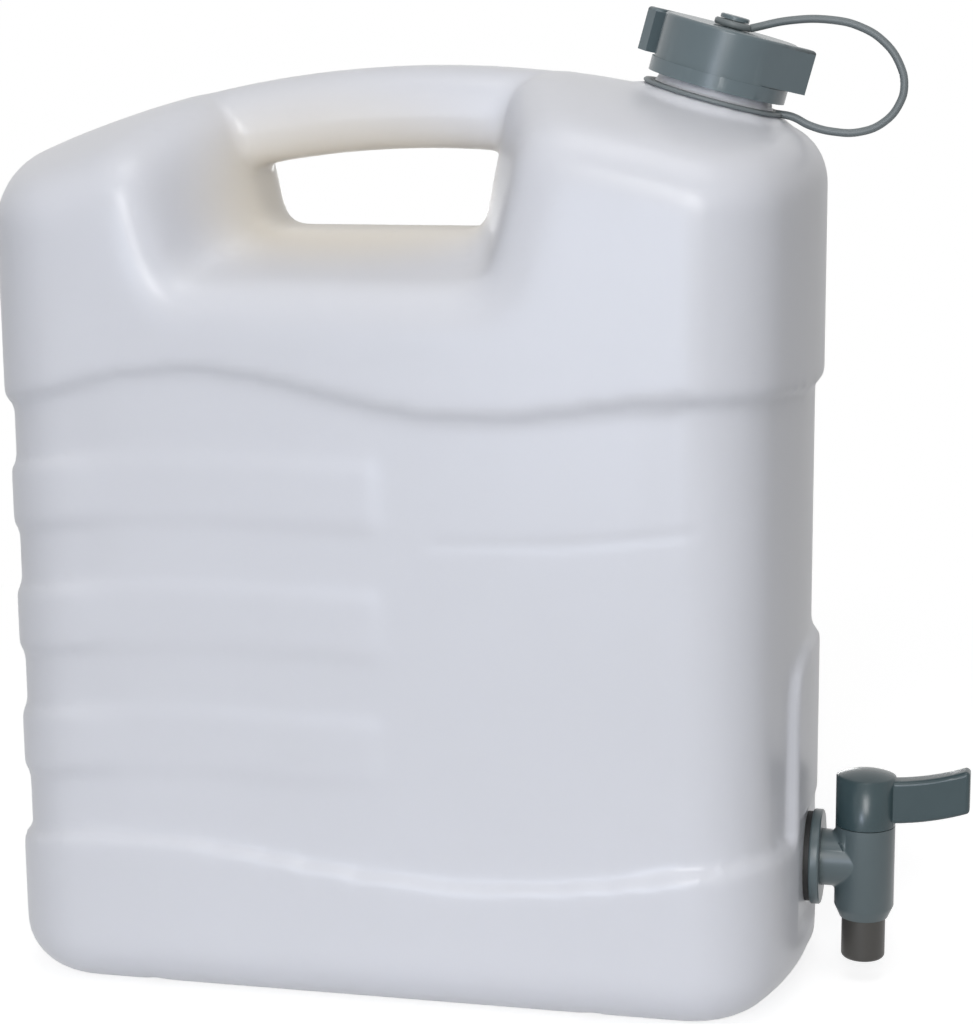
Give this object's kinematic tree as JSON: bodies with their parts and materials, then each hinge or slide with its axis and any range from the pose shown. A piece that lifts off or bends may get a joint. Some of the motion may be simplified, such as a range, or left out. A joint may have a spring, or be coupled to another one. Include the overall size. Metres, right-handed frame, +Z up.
{
  "type": "water canister with tap",
  "caption": "Blow-moulded plastic water canister with a through handle, a lugged screw cap held by a strap, and a lever tap low on one side.",
  "frame": {"origin": "centre of the flat base, on the plane the canister stands on", "axes": "+Z is up, +X points from the middle to the side with the tap, and the wide front face looks along -Y"},
  "size_m": [0.356, 0.145, 0.3545],
  "materials": {
    "canister_polyethylene": "satin, milky and slightly translucent",
    "cap_plastic": "satin",
    "liner_foam": "matte",
    "strap_rubber": "satin",
    "gasket_rubber": "matte",
    "tap_plastic": "satin",
    "lever_plastic": "satin",
    "spout_plastic": "satin"
  },
  "bodies": {
    "canister": {"container": "canister_polyethylene", "cap_strap": "strap_rubber", "tap_gasket": "gasket_rubber", "tap_housing": "tap_plastic", "tap_spout": "spout_plastic"},
    "seal": {"cap_liner": "liner_foam"},
    "cap": {"screw_cap": "cap_plastic"},
    "lever": {"tap_plug": "lever_plastic"}
  },
  "joints": [
    {"name": "cap_lift", "type": "slide", "parent": "canister", "child": "seal", "axis": [0.2653, 0, 0.9642], "range_m": [0, 0.005], "deforming": ["cap_strap"]},
    {"name": "cap_turn", "type": "hinge", "parent": "seal", "child": "cap", "pos_m": [0.1095, 0, 0.32156], "axis": [0.2653, 0, 0.9642], "range_deg": [0, 450]},
    {"name": "tap_lever", "type": "hinge", "parent": "canister", "child": "lever", "pos_m": [0.1685, 0, 0.0455], "axis": [0, 0, 1], "range_deg": [-90, 90]}
  ],
  "couplings": [
    {"joint": "cap_turn", "follows": "cap_lift", "rad_per_m": 1570.8}
  ]
}
